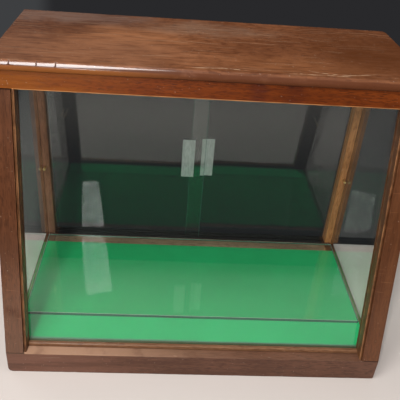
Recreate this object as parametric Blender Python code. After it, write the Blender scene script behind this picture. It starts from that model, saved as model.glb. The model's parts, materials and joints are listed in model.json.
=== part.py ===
"""Countertop display cabinet with a leaning glass front, glass sides and two sliding glass doors at the back."""
from math import radians, tan

import bmesh
import bpy
from mathutils import Matrix, Vector

# Clearance between neighbouring pieces, metres like every size below
GAP = 0.0003

# Overall size: base frame width and depth, height to the top of the board, lean of the front frame
BASE_W = 0.620
BASE_D = 0.351
HEIGHT = 0.500
FRONT_LEAN = radians(12.75)

# Frame members
BOTTOM_RAIL_H = 0.042
TOP_RAIL_H = 0.025
FRONT_BAR_D = 0.030
BACK_RAIL_D = 0.030
SIDE_RAIL_W = 0.026
FRONT_POST_W = 0.028
BACK_POST_W = 0.023
BACK_POST_D = 0.024

# Joinery
TENON_L = 0.014
TENON_W = 0.010
TENON_ROOT = 0.004
SIDE_TENON_L = 0.008
SIDE_TENON_H = 0.014

# Top board
TOP_T = 0.014
TOP_SIDE_OVERHANG = 0.005
TOP_NOSE_OVERHANG = 0.0035
TOP_EDGE_R = 0.0015

# Fixed glass and the slips that hold it
PANE_T = 0.003
BEAD_T = 0.006
BEAD_W = 0.0065
UPRIGHT_BEAD_W = 0.004
UPRIGHT_BEAD_IN = 0.003
LEDGE_D = 0.016

# Floor
BASE_BOARD_T = 0.009
CLEAT = 0.010
LINING_T = 0.002
BARE_STRIP_D = 0.0225

# Sliding doors and their tracks
DOOR_T = 0.004
DOOR_OVERLAP = 0.0285
DOOR_PITCH = 0.0085
DOOR_BACK_INSET = 0.006
DOOR_PLAY = 0.0005
POST_GROOVE = 0.006
LOWER_TRACK_H = 0.006
LOWER_GROOVE = 0.004
UPPER_TRACK_H = 0.011
UPPER_GROOVE = 0.009
DOOR_BITE = 0.003
TRACK_D = 0.0295
TRACK_END = 0.012
GRIP_W = 0.0245
GRIP_H = 0.082
GRIP_EDGE = 0.021
GRIP_Z = 0.193
GRIP_CUT = 0.0008

# Loose glass shelf and its pegs
SHELF_T = 0.006
SHELF_FRONT = 0.0885
SHELF_SIDE_PLAY = 0.003
SHELF_BACK_PLAY = 0.003
PEG_D = 0.005
PEG_TOP_Z = 0.207
PEG_SEAT = 0.010
BACK_PEG_OUT = 0.010
FRONT_PEG_OUT = 0.038

# Screws that hold the top board down
SCREWS_PER_SIDE = 3
SCREW_D = 0.004
SCREW_HEAD_D = 0.008
SCREW_HEAD_H = 0.003
SCREW_BITE = 0.009

# Worked out from the sizes above
LEFT = -BASE_W / 2
FRONT = -BASE_D / 2
BACK = BASE_D / 2
TOP_Z = HEIGHT - TOP_T
RAIL_Z = TOP_Z - TOP_RAIL_H
FLOOR_Z = BOTTOM_RAIL_H + GAP + LINING_T
FRONT_REBATE = LEDGE_D + BEAD_T + PANE_T + 3 * GAP
SIDE_REBATE = BEAD_T + PANE_T + 2 * GAP
BACK_POST_Y = BACK - BACK_POST_D
DOOR_Y = {"right": BACK - DOOR_BACK_INSET - DOOR_T / 2}
DOOR_Y["left"] = DOOR_Y["right"] - DOOR_PITCH
SIDES = {"left": -1, "right": 1}

PALETTE = {
    "top_wood": ((0.155, 0.066, 0.030), 0.38, 0.0),
    "rail_wood": ((0.205, 0.062, 0.022), 0.35, 0.0),
    "post_wood": ((0.165, 0.068, 0.042), 0.40, 0.0),
    "track_wood": ((0.120, 0.050, 0.030), 0.45, 0.0),
    "base_ply": ((0.260, 0.130, 0.070), 0.60, 0.0),
    "green_lining": ((0.012, 0.330, 0.100), 0.85, 0.0),
    "pane_glass": ((0.780, 0.860, 0.820), 0.04, 0.0),
    "door_glass": ((0.720, 0.840, 0.790), 0.04, 0.0),
    "shelf_glass": ((0.520, 0.780, 0.660), 0.04, 0.0),
    "brass": ((0.720, 0.520, 0.220), 0.30, 1.0),
    "steel": ((0.560, 0.560, 0.570), 0.35, 1.0),
}


def clear_scene():
    for obj in list(bpy.data.objects):
        bpy.data.objects.remove(obj, do_unlink=True)


def new_collection(name):
    collection = bpy.data.collections.new(name)
    bpy.context.scene.collection.children.link(collection)
    return collection


def make_material(name):
    colour, roughness, metallic = PALETTE[name]
    material = bpy.data.materials.new(name)
    material.use_nodes = True
    shader = material.node_tree.nodes["Principled BSDF"]
    shader.inputs["Base Color"].default_value = (*colour, 1.0)
    shader.inputs["Roughness"].default_value = roughness
    shader.inputs["Metallic"].default_value = metallic
    if name.endswith("_glass"):
        shader.inputs["Transmission Weight"].default_value = 0.9
    material.diffuse_color = (*colour, 1.0)
    return material


def lean(z, depth=0.0):
    """Y of the leaning front plane at height z, plus a depth behind it."""
    return FRONT + (z - BOTTOM_RAIL_H) * tan(FRONT_LEAN) + depth


def across(side, near, far):
    """X range between two distances from the outer face of the left or right side."""
    sign = SIDES[side]
    return tuple(sorted((sign * (BASE_W / 2 - near), sign * (BASE_W / 2 - far))))


def move_to(obj, collection):
    for owner in list(obj.users_collection):
        owner.objects.unlink(obj)
    collection.objects.link(obj)


class Workshop:
    """Adds finished pieces and cutters to their collections."""

    def __init__(self):
        self.parts = new_collection("countertop_display_cabinet")
        self.cutters = new_collection("cutters")
        self.materials = {name: make_material(name) for name in PALETTE}
        self.root = bpy.data.objects.new("cabinet_origin", None)
        self.parts.objects.link(self.root)

    def keep(self, obj, name, material):
        obj.name = name
        obj.data.name = name
        obj.data.materials.append(self.materials[material])
        move_to(obj, self.parts)
        obj.parent = self.root
        return obj

    def hide(self, obj, name):
        obj.name = name
        obj.display_type = "WIRE"
        obj.hide_render = True
        move_to(obj, self.cutters)
        return obj

    def bar(self, name, material, xs, ys, zs, top_ys=None):
        return self.keep(block(xs, ys, zs, top_ys), name, material)

    def cutter(self, name, xs, ys, zs, top_ys=None):
        return self.hide(block(xs, ys, zs, top_ys), name)


def block(xs, ys, zs, top_ys=None):
    """A cube stretched between corner values; top_ys gives the Y range at its upper face when it leans."""
    bpy.ops.mesh.primitive_cube_add(size=1.0)
    obj = bpy.context.object
    high = top_ys or ys
    centre = Vector((sum(xs) / 2, (sum(ys) + sum(high)) / 4, sum(zs) / 2))
    for vertex in obj.data.vertices:
        right, far, up = (value > 0 for value in vertex.co)
        corner = Vector((xs[right], (high if up else ys)[far], zs[up]))
        vertex.co = corner - centre
    obj.location = centre
    return obj


def leaning(zs, near, far):
    """Lower and upper Y ranges of a piece that lies between two depths behind the front plane."""
    return (lean(zs[0], near), lean(zs[0], far)), (lean(zs[1], near), lean(zs[1], far))


def turned(profile, segments=20):
    """A round piece about its own Z axis from (radius, height) points that start and end on the axis."""
    mesh = bpy.data.meshes.new("turned")
    bm = bmesh.new()
    points = [bm.verts.new((radius, 0.0, height)) for radius, height in profile]
    edges = [bm.edges.new(pair) for pair in zip(points, points[1:])]
    bmesh.ops.spin(bm, geom=points + edges, axis=(0, 0, 1), cent=(0, 0, 0), angle=radians(360), steps=segments,
                   use_merge=True)
    bmesh.ops.remove_doubles(bm, verts=bm.verts, dist=0.00001)
    bmesh.ops.recalc_face_normals(bm, faces=bm.faces)
    for face in bm.faces:
        face.smooth = True
    bm.to_mesh(mesh)
    bm.free()
    obj = bpy.data.objects.new("turned", mesh)
    bpy.context.scene.collection.objects.link(obj)
    return obj


def combine(obj, other, operation):
    modifier = obj.modifiers.new(operation.lower() + "_" + other.name, "BOOLEAN")
    modifier.operation = operation
    modifier.solver = "EXACT"
    modifier.object = other


def round_edges(obj, chosen, radius, segments):
    """Round the edges whose two ends both pass the test, given in the object's own coordinates."""
    bm = bmesh.new()
    bm.from_mesh(obj.data)
    edges = [edge for edge in bm.edges if all(chosen(vertex.co) for vertex in edge.verts)]
    bmesh.ops.bevel(bm, geom=edges, offset=radius, segments=segments, profile=0.5, affect="EDGES")
    bm.to_mesh(obj.data)
    bm.free()


def grown(pair, amount):
    return pair[0] - amount, pair[1] + amount


def glazing_cutters(shop):
    """Rebates for the front pane and for each side pane, cut into every frame member they cross."""
    zs = (BOTTOM_RAIL_H, RAIL_Z)
    ys, top_ys = leaning(zs, -FRONT_BAR_D, FRONT_REBATE)
    half = BASE_W / 2 - FRONT_POST_W
    front = shop.cutter("front_rebate", (-half, half), ys, zs, top_ys)
    sides = {}
    for side in SIDES:
        zs = (BOTTOM_RAIL_H - BEAD_W, RAIL_Z + BEAD_W)
        near = FRONT_BAR_D - BEAD_W
        ys = (lean(zs[0], near), BACK_POST_Y + BEAD_W)
        top_ys = (lean(zs[1], near), BACK_POST_Y + BEAD_W)
        sides[side] = shop.cutter(side + "_rebate", across(side, -BEAD_W, SIDE_REBATE), ys, zs, top_ys)
    return front, sides


def tenon_and_mortise(shop, name, owner, mortised, xs, ys, zs, top_ys=None):
    """A tongue joined to one piece and its slightly larger slot in another."""
    tongue = shop.cutter(name + "_tenon", xs, ys, zs, top_ys)
    slot = shop.cutter(name + "_mortise", grown(xs, GAP), grown(ys, GAP), grown(zs, GAP),
                       grown(top_ys, GAP) if top_ys else None)
    combine(owner, tongue, "UNION")
    combine(mortised, slot, "DIFFERENCE")


def front_frame(shop, front_rebate, side_rebates):
    """Leaning posts and top rail on an upright bottom rail, all rebated for the glass."""
    width = (LEFT, -LEFT)
    lip_end = FRONT_POST_W + UPRIGHT_BEAD_W
    bottom = shop.bar("front_bottom_rail", "rail_wood", width, (FRONT, FRONT + FRONT_BAR_D),
                      (0.0, BOTTOM_RAIL_H + BEAD_W))
    zs = (RAIL_Z - BEAD_W, TOP_Z - GAP)
    ys, top_ys = leaning(zs, 0.0, FRONT_BAR_D)
    top = shop.bar("front_top_rail", "rail_wood", width, ys, zs, top_ys)
    for rail in (bottom, top):
        combine(rail, front_rebate, "DIFFERENCE")
        for side in SIDES:
            combine(rail, side_rebates[side], "DIFFERENCE")
    for side in SIDES:
        zs = (BOTTOM_RAIL_H, RAIL_Z)
        ys, top_ys = leaning(zs, -FRONT_BAR_D, 2 * FRONT_BAR_D)
        seat = shop.cutter("front_" + side + "_post_seat", across(side, -BEAD_W, lip_end + GAP), ys, zs, top_ys)
        combine(bottom, seat, "DIFFERENCE")
        combine(top, seat, "DIFFERENCE")
    for side in SIDES:
        front_post(shop, side, front_rebate, side_rebates[side], bottom, top)
    return bottom, top


def front_post(shop, side, front_rebate, side_rebate, bottom, top):
    name = "front_" + side + "_post"
    zs = (BOTTOM_RAIL_H + GAP, RAIL_Z - GAP)
    ys, top_ys = leaning(zs, 0.0, FRONT_BAR_D)
    post = shop.bar(name, "post_wood", across(side, 0.0, FRONT_POST_W + UPRIGHT_BEAD_W), ys, zs, top_ys)
    combine(post, front_rebate, "DIFFERENCE")
    combine(post, side_rebate, "DIFFERENCE")
    middle = FRONT_POST_W / 2
    xs = across(side, middle - TENON_W / 2, middle + TENON_W / 2)
    near = (FRONT_BAR_D - BEAD_W - TENON_W) / 2
    for end, rail, zs in (("foot", bottom, (BOTTOM_RAIL_H - TENON_L, BOTTOM_RAIL_H + TENON_ROOT)),
                          ("head", top, (RAIL_Z - TENON_ROOT, RAIL_Z + TENON_L))):
        ys, top_ys = leaning(zs, near, near + TENON_W)
        tenon_and_mortise(shop, name + "_" + end, post, rail, xs, ys, zs, top_ys)
    seat_y = lean(peg_z(), FRONT_BAR_D)
    shelf_peg(shop, "shelf_peg_front_" + side, post, side, seat_y, -1, FRONT_PEG_OUT)


def back_frame(shop, side_rebates):
    """Upright back posts between a bottom rail and a top rail."""
    width = (LEFT, -LEFT)
    depth = (BACK - BACK_RAIL_D, BACK)
    bottom = shop.bar("back_bottom_rail", "post_wood", width, depth, (0.0, BOTTOM_RAIL_H))
    top = shop.bar("back_top_rail", "post_wood", width, depth, (RAIL_Z, TOP_Z - GAP))
    for side in SIDES:
        combine(bottom, side_rebates[side], "DIFFERENCE")
        combine(top, side_rebates[side], "DIFFERENCE")
        back_post(shop, side, side_rebates[side], bottom, top)
    return bottom, top


def back_post(shop, side, side_rebate, bottom, top):
    name = "back_" + side + "_post"
    zs = (BOTTOM_RAIL_H + GAP, RAIL_Z - GAP)
    post = shop.bar(name, "post_wood", across(side, 0.0, BACK_POST_W), (BACK_POST_Y, BACK), zs)
    combine(post, side_rebate, "DIFFERENCE")
    run = DOOR_T / 2 + DOOR_PLAY
    groove = shop.cutter(side + "_door_groove", across(side, BACK_POST_W - POST_GROOVE, BACK_POST_W + POST_GROOVE),
                         (DOOR_Y[side] - run, DOOR_Y[side] + run), grown(zs, POST_GROOVE))
    combine(post, groove, "DIFFERENCE")
    xs = across(side, peg_inset() - TENON_W / 4, peg_inset() + TENON_W / 4)
    middle = BACK - (BACK_POST_D - BEAD_W) / 2
    ys = (middle - TENON_W / 2, middle + TENON_W / 2)
    for end, rail, span in (("foot", bottom, (BOTTOM_RAIL_H - TENON_L, BOTTOM_RAIL_H + TENON_ROOT)),
                            ("head", top, (RAIL_Z - TENON_ROOT, RAIL_Z + TENON_L))):
        tenon_and_mortise(shop, name + "_" + end, post, rail, xs, ys, span)
    shelf_peg(shop, "shelf_peg_back_" + side, post, side, BACK_POST_Y, 1, BACK_PEG_OUT)


def side_frames(shop, side_rebates, front_rails, back_rails):
    """Bottom and top rails that join the front frame to the back frame."""
    tops = {}
    for side in SIDES:
        xs = across(side, 0.0, SIDE_RAIL_W)
        tongue = across(side, SIDE_REBATE + GAP, SIDE_REBATE + TENON_W)
        ys = (FRONT + FRONT_BAR_D + GAP, BACK - BACK_RAIL_D - GAP)
        low = shop.bar(side + "_bottom_rail", "post_wood", xs, ys, (0.0, BOTTOM_RAIL_H))
        zs = (RAIL_Z, TOP_Z - GAP)
        ends = [(lean(z, FRONT_BAR_D + GAP), ys[1]) for z in zs]
        high = shop.bar(side + "_top_rail", "post_wood", xs, ends[0], zs, ends[1])
        tops[side] = high
        for rail in (low, high):
            combine(rail, side_rebates[side], "DIFFERENCE")
        low_z = ((BOTTOM_RAIL_H - TENON_L - SIDE_TENON_H) / 2, (BOTTOM_RAIL_H - TENON_L + SIDE_TENON_H) / 2)
        high_z = (TOP_Z - SIDE_TENON_H - TENON_ROOT, TOP_Z - TENON_ROOT)
        for rail, span, front, back in ((low, low_z, front_rails[0], back_rails[0]),
                                        (high, high_z, front_rails[1], back_rails[1])):
            leans = rail is high
            face = [lean(z, FRONT_BAR_D) if leans else FRONT + FRONT_BAR_D for z in span]
            inward, outward = TENON_ROOT + GAP, SIDE_TENON_L
            tenon_and_mortise(shop, rail.name + "_front", rail, front, tongue,
                              (face[0] - outward, face[0] + inward), span, (face[1] - outward, face[1] + inward))
            tenon_and_mortise(shop, rail.name + "_back", rail, back, tongue,
                              (ys[1] - inward, ys[1] + outward), span)
    return tops


def top_board(shop, top_rails):
    """Board with a half-round front edge, screwed down through the side rails."""
    half = BASE_W / 2 + TOP_SIDE_OVERHANG
    ys = (lean(TOP_Z) - TOP_NOSE_OVERHANG, BACK)
    board = shop.bar("top_board", "top_wood", (-half, half), ys, (TOP_Z, HEIGHT))
    nose = -(ys[1] - ys[0]) / 2
    round_edges(board, lambda co: co.y < nose + GAP, TOP_T * 0.48, 6)
    round_edges(board, lambda co: co.y > -nose - GAP and co.z > 0, TOP_EDGE_R, 2)
    rail_front = lean(TOP_Z, FRONT_BAR_D)
    rail_back = BACK - BACK_RAIL_D
    number = 0
    for side in SIDES:
        for step in range(SCREWS_PER_SIDE):
            number += 1
            y = rail_front + (rail_back - rail_front) * (step + 1) / (SCREWS_PER_SIDE + 1)
            x = SIDES[side] * (BASE_W / 2 - (SIDE_REBATE + SIDE_RAIL_W) / 2)
            place = Matrix.Translation((x, y, RAIL_Z))
            screw = turned(screw_profile(0.0))
            screw.matrix_world = place
            shop.keep(screw, "top_board_screw_%d" % number, "steel")
            hole = shop.hide(turned(screw_profile(GAP)), "screw_hole_%d" % number)
            hole.matrix_world = place
            combine(top_rails[side], hole, "DIFFERENCE")
            combine(board, hole, "DIFFERENCE")


def screw_profile(room):
    """Countersunk wood screw, head down; room is the clearance of the hole it sits in."""
    tip = TOP_RAIL_H + SCREW_BITE + room
    start = GAP if room == 0.0 else -GAP
    head, shank = SCREW_HEAD_D / 2 + room, SCREW_D / 2 + room
    return [(0.0, start), (head, start), (head, 2 * GAP), (shank, SCREW_HEAD_H), (shank, tip - SCREW_D), (0.0, tip)]


def front_glazing(shop):
    """Front pane against its rebate, held by four slips; the upright ones reach almost to the post faces."""
    half = BASE_W / 2 - FRONT_POST_W - GAP
    zs = (BOTTOM_RAIL_H + GAP, RAIL_Z - GAP)
    near = LEDGE_D + BEAD_T + GAP
    ys, top_ys = leaning(zs, near, near + PANE_T)
    shop.bar("front_glass", "pane_glass", (-half, half), ys, zs, top_ys)
    between = half - UPRIGHT_BEAD_W - GAP
    for place, span in (("bottom", (zs[0], zs[0] + BEAD_W)), ("top", (zs[1] - BEAD_W, zs[1]))):
        ys, top_ys = leaning(span, LEDGE_D, LEDGE_D + BEAD_T)
        shop.bar("front_bead_" + place, "post_wood", (-between, between), ys, span, top_ys)
    ys, top_ys = leaning(zs, UPRIGHT_BEAD_IN, LEDGE_D + BEAD_T)
    for side in SIDES:
        xs = across(side, FRONT_POST_W + GAP, FRONT_POST_W + GAP + UPRIGHT_BEAD_W)
        shop.bar("front_bead_" + side, "post_wood", xs, ys, zs, top_ys)


def side_glazing(shop, side):
    """Side pane with a leaning front edge, held by four slips flush with the outer faces."""
    low, high = BOTTOM_RAIL_H - BEAD_W + GAP, RAIL_Z + BEAD_W - GAP
    near = FRONT_BAR_D - BEAD_W + GAP
    far = BACK_POST_Y + BEAD_W - GAP
    shop.bar(side + "_glass", "pane_glass", across(side, BEAD_T + GAP, BEAD_T + GAP + PANE_T),
             (lean(low, near), far), (low, high), (lean(high, near), far))
    xs = across(side, 0.0, BEAD_T)
    for place, zs in (("bottom", (low, BOTTOM_RAIL_H)), ("top", (RAIL_Z, high))):
        shop.bar(side + "_bead_" + place, "post_wood", xs, (lean(zs[0], near), far), zs, (lean(zs[1], near), far))
    zs = (BOTTOM_RAIL_H + GAP, RAIL_Z - GAP)
    ys, top_ys = leaning(zs, near, FRONT_BAR_D)
    shop.bar(side + "_bead_front", "post_wood", xs, ys, zs, top_ys)
    shop.bar(side + "_bead_back", "post_wood", xs, (BACK_POST_Y, far), zs)


def floor(shop):
    """Base board on cleats inside the bottom rails, with the green lining over it."""
    half = BASE_W / 2 - SIDE_RAIL_W - GAP
    ys = (FRONT + FRONT_BAR_D + GAP, BACK - BACK_RAIL_D - GAP)
    low = BOTTOM_RAIL_H - BASE_BOARD_T
    shop.bar("base_board", "base_ply", (-half, half), ys, (low, BOTTOM_RAIL_H))
    zs = (low - GAP - CLEAT, low - GAP)
    shop.bar("front_floor_cleat", "base_ply", (-half, half), (ys[0], ys[0] + CLEAT), zs)
    shop.bar("back_floor_cleat", "base_ply", (-half, half), (ys[1] - CLEAT, ys[1]), zs)
    between = (ys[0] + CLEAT + GAP, ys[1] - CLEAT - GAP)
    for side in SIDES:
        xs = across(side, SIDE_RAIL_W + GAP, SIDE_RAIL_W + GAP + CLEAT)
        shop.bar(side + "_floor_cleat", "base_ply", xs, between, zs)
    half = BASE_W / 2 - SIDE_REBATE - GAP
    ys = (lean(FLOOR_Z, FRONT_BAR_D) + GAP, BACK - TRACK_D - BARE_STRIP_D)
    shop.bar("floor_lining", "green_lining", (-half, half), ys, (BOTTOM_RAIL_H + GAP, FLOOR_Z))


def door_tracks(shop):
    """Lower track lying on the back rail and a deeper one under the top rail, two grooves in each."""
    run = DOOR_T / 2 + DOOR_PLAY
    half = BASE_W / 2 - TRACK_END
    zs = (BOTTOM_RAIL_H + GAP, BOTTOM_RAIL_H + GAP + LOWER_TRACK_H)
    lower = shop.bar("lower_door_track", "track_wood", (-half, half), (BACK - TRACK_D, BACK), zs)
    for side in SIDES:
        notch = shop.cutter(side + "_track_notch", across(side, 0.0, BACK_POST_W + GAP),
                            (BACK_POST_Y - GAP, BACK + GAP), grown(zs, GAP))
        combine(lower, notch, "DIFFERENCE")
    half = BASE_W / 2 - BACK_POST_W - GAP
    top_zs = (RAIL_Z - GAP - UPPER_TRACK_H, RAIL_Z - GAP)
    upper = shop.bar("upper_door_track", "track_wood", (-half, half), (BACK_POST_Y, BACK), top_zs)
    for side in SIDES:
        ys = (DOOR_Y[side] - run, DOOR_Y[side] + run)
        ends = (-BASE_W, BASE_W)
        low = shop.cutter(side + "_lower_groove", ends, ys, (zs[1] - LOWER_GROOVE, zs[1] + LOWER_GROOVE))
        high = shop.cutter(side + "_upper_groove", ends, ys, (top_zs[0] - UPPER_GROOVE, top_zs[0] + UPPER_GROOVE))
        combine(lower, low, "DIFFERENCE")
        combine(upper, high, "DIFFERENCE")


def door(shop, side):
    """Frameless pane that runs in one pair of grooves, with a ground grip on its outer face."""
    low = BOTTOM_RAIL_H + 2 * GAP + LOWER_TRACK_H - LOWER_GROOVE
    high = RAIL_Z - GAP - UPPER_TRACK_H + DOOR_BITE
    outer = BACK_POST_W - POST_GROOVE + GAP
    inner = BASE_W / 2 + DOOR_OVERLAP / 2
    y = DOOR_Y[side]
    pane = shop.bar(side + "_door", "door_glass", across(side, outer, inner), (y - DOOR_T / 2, y + DOOR_T / 2),
                    (low, high))
    back = y + DOOR_T / 2
    grip = shop.cutter(side + "_grip", across(side, inner - GRIP_EDGE - GRIP_W, inner - GRIP_EDGE),
                       (back - GRIP_CUT, back + GRIP_CUT), (GRIP_Z, GRIP_Z + GRIP_H))
    combine(pane, grip, "DIFFERENCE")


def shelf(shop):
    """Loose sheet of thick glass lying on the lining."""
    half = BASE_W / 2 - SIDE_REBATE - SHELF_SIDE_PLAY
    ys = (FRONT + SHELF_FRONT, BACK - TRACK_D - SHELF_BACK_PLAY)
    shop.bar("glass_shelf", "shelf_glass", (-half, half), ys, (FLOOR_Z + GAP, FLOOR_Z + GAP + SHELF_T))


def peg_inset():
    """Distance of the pegs from the outer face, half way between the glass rebate and the door groove."""
    return (SIDE_REBATE + BACK_POST_W - POST_GROOVE) / 2


def peg_z():
    return PEG_TOP_Z - PEG_D / 2


def shelf_peg(shop, name, post, side, face_y, inward, out):
    """Plain round peg in a blind hole; inward is the direction along Y into the post."""
    x = SIDES[side] * (BASE_W / 2 - peg_inset())
    radius, nose = PEG_D / 2, PEG_D / 6
    seat = PEG_SEAT - GAP
    profile = [(0.0, -seat), (radius, -seat), (radius, out - nose), (radius - nose, out), (0.0, out)]
    bored = [(0.0, -PEG_SEAT), (radius + GAP, -PEG_SEAT), (radius + GAP, out), (0.0, out)]
    place = Matrix.Translation((x, face_y, peg_z())) @ Matrix.Rotation(radians(90) * inward, 4, "X")
    peg = turned(profile)
    peg.matrix_world = place
    shop.keep(peg, name, "brass")
    hole = shop.hide(turned(bored), name + "_hole")
    hole.matrix_world = place
    combine(post, hole, "DIFFERENCE")


def main():
    clear_scene()
    shop = Workshop()
    front_rebate, side_rebates = glazing_cutters(shop)
    front_rails = front_frame(shop, front_rebate, side_rebates)
    back_rails = back_frame(shop, side_rebates)
    top_rails = side_frames(shop, side_rebates, front_rails, back_rails)
    top_board(shop, top_rails)
    front_glazing(shop)
    for side in SIDES:
        side_glazing(shop, side)
    floor(shop)
    door_tracks(shop)
    for side in SIDES:
        door(shop, side)
    shelf(shop)


main()
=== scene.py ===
import json
import math

import bmesh
import bpy
from mathutils import Matrix, Vector, noise

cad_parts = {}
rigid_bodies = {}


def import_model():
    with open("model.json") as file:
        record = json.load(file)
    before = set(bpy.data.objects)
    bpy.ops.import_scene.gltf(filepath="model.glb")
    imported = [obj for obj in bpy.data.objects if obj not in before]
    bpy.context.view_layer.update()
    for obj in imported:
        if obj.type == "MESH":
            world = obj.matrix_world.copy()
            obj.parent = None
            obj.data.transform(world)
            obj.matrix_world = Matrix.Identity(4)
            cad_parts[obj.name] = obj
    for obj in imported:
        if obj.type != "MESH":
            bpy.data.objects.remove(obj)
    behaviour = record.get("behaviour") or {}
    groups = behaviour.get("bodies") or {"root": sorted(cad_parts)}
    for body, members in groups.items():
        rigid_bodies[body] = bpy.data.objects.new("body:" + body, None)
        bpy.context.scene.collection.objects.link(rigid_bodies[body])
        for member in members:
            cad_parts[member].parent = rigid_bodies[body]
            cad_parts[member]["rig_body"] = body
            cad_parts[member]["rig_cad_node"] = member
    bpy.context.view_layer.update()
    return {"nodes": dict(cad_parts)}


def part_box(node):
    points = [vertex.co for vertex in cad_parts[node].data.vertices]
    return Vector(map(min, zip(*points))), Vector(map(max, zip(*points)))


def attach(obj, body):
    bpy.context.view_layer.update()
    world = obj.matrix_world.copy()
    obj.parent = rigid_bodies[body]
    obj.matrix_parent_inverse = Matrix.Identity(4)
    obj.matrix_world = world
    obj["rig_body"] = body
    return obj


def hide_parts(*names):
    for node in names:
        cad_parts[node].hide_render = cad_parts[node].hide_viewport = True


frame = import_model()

leanAngle = math.radians(12.75)  # lean of the front frame
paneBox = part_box("front_glass")
footZ, headZ = paneBox[0].z, paneBox[1].z  # shoulders of the posts
postEdge = paneBox[1].x  # inner face of the front posts
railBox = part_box("front_bottom_rail")
railFront = railBox[0].y
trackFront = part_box("lower_door_track")[0].y
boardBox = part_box("top_board")
noseFront, boardZ, topZ = boardBox[0].y, boardBox[0].z, boardBox[1].z
print("frame loaded,", len(frame["nodes"]), "nodes")


# picking and cutting, as in edit mode by hand
cornerAngle = math.radians(40)  # least turn of a sawn corner
shadeAngle = math.radians(32)  # edges that turn less are shaded smooth
facing = 0.9  # least cosine of what runs along an axis
flat = 0.95  # the same for a face that is not part of a rounded edge


def setDown():
    if bpy.context.object and bpy.context.object.mode != "OBJECT":
        bpy.ops.object.mode_set(mode="OBJECT")
    bpy.ops.object.select_all(action="DESELECT")


def takeUp(piece):
    setDown()
    piece.select_set(True)
    bpy.context.view_layer.objects.active = piece


def choose(piece, kind, test):
    takeUp(piece)
    bpy.ops.object.mode_set(mode="EDIT")
    bpy.ops.mesh.select_mode(type=kind)
    bpy.ops.mesh.select_all(action="DESELECT")
    shape = bmesh.from_edit_mesh(piece.data)
    shape.normal_update()
    members = {"VERT": shape.verts, "EDGE": shape.edges, "FACE": shape.faces}[kind]
    found = [member for member in members if test(member)]
    for member in found:
        member.select_set(True)
    bmesh.update_edit_mesh(piece.data)
    return len(found)


def stopEditing():
    bpy.ops.object.mode_set(mode="OBJECT")


def middle(part):
    return sum((vert.co for vert in part.verts), Vector()) / len(part.verts)


def unit(axis):
    return Vector([float(i == axis) for i in range(3)])


def isCorner(edge):
    # an outward corner of the wood, as sawn
    return len(edge.link_faces) == 2 and edge.calc_face_angle_signed(0.0) > cornerAngle


def roundOff(piece, test, width, steps, profile=0.5):
    if choose(piece, "EDGE", test):
        bpy.ops.mesh.bevel(offset=width, segments=steps, profile=profile, affect="EDGES", clamp_overlap=True)
    stopEditing()


def cutAt(piece, cuts):
    takeUp(piece)
    bpy.ops.object.mode_set(mode="EDIT")
    for point, across in cuts:
        bpy.ops.mesh.select_all(action="SELECT")
        bpy.ops.mesh.bisect(plane_co=point, plane_no=across)
    stopEditing()


def evenCuts(low, high, axis, step):
    count = int((high[axis] - low[axis]) / step)
    return [(low + unit(axis) * step * (i + 0.5), unit(axis)) for i in range(count + 1)]


def crossCut(axis, at):
    return unit(axis) * at, unit(axis)


def softShade(piece):
    takeUp(piece)
    bpy.ops.object.shade_smooth_by_angle(angle=shadeAngle)


def addBlock(name, low, high):
    setDown()
    size = Vector(high) - Vector(low)
    bpy.ops.mesh.primitive_cube_add(size=1.0, location=(Vector(high) + Vector(low)) / 2)
    piece = bpy.context.object
    piece.scale = size
    bpy.ops.object.transform_apply(location=True, rotation=True, scale=True)
    piece.name = name
    piece.data.name = name
    return piece


def dress(piece, finishes):
    piece.data.materials.clear()
    for finish in finishes:
        piece.data.materials.append(finish)


def stand(piece, body, slot, *nodes):
    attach(piece, body)
    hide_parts(*nodes)


# shader sums
class Flow:
    def __init__(self, tree, socket):
        self.tree = tree
        self.socket = socket

    def sum(self, operation, first, second):
        node = self.tree.nodes.new("ShaderNodeMath")
        node.operation = operation
        for socket, value in zip(node.inputs, (first, second)):
            if isinstance(value, Flow):
                self.tree.links.new(value.socket, socket)
            else:
                socket.default_value = value
        return Flow(self.tree, node.outputs[0])

    def __add__(self, other):
        return self.sum("ADD", self, other)

    def __radd__(self, other):
        return self.sum("ADD", other, self)

    def __sub__(self, other):
        return self.sum("SUBTRACT", self, other)

    def __rsub__(self, other):
        return self.sum("SUBTRACT", other, self)

    def __mul__(self, other):
        return self.sum("MULTIPLY", self, other)

    def __rmul__(self, other):
        return self.sum("MULTIPLY", other, self)

    def __truediv__(self, other):
        return self.sum("DIVIDE", self, other)

    def __rtruediv__(self, other):
        return self.sum("DIVIDE", other, self)

    def __pow__(self, other):
        return self.sum("POWER", self, other)

    def __rpow__(self, other):
        return self.sum("POWER", other, self)


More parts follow.
